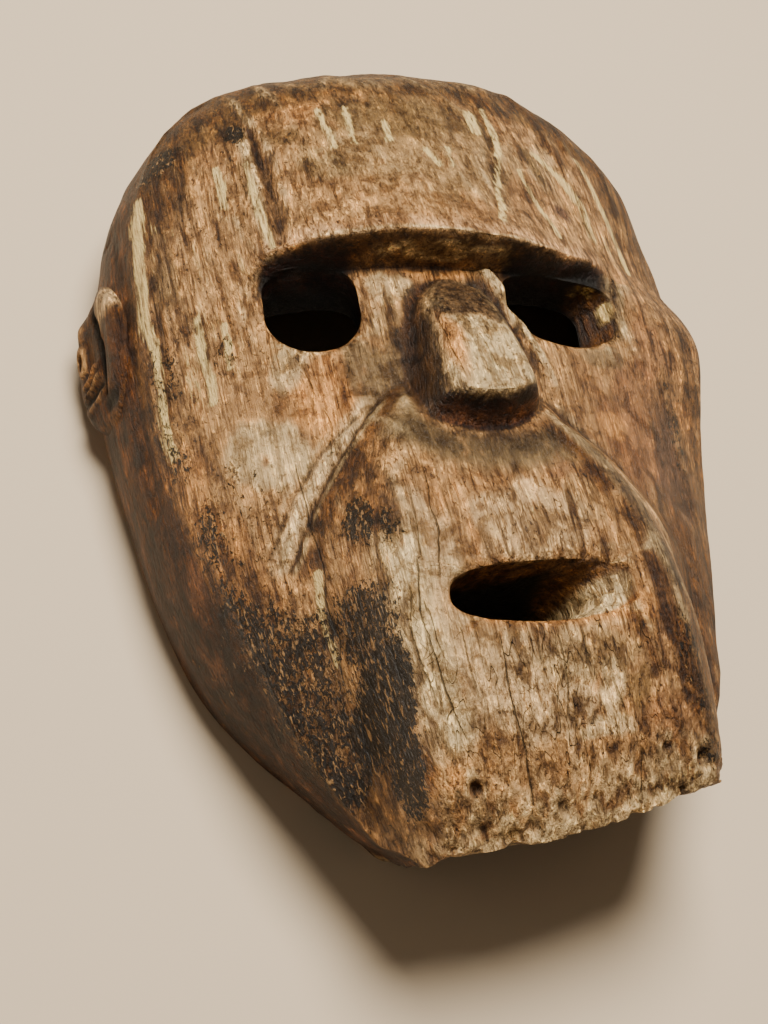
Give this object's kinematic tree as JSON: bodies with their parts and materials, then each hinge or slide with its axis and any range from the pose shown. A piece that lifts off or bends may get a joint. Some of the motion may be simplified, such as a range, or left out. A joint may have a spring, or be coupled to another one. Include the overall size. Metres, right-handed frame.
{
  "type": "timor mask",
  "caption": "Carved wooden face mask with pierced eyes and mouth, a block nose, small ears and a hollow open back, lying face up on its rim.",
  "frame": {"origin": "on the surface that the mask's rim lies on, under the middle of its outline", "axes": "+Y from chin to forehead, +Z out of the face, +X to the viewer's right"},
  "size_m": [0.1803, 0.2558, 0.0833],
  "materials": {
    "wood": "old, worn, satin where it is rubbed"
  },
  "bodies": {
    "root": {"mask": "wood"}
  },
  "joints": []
}
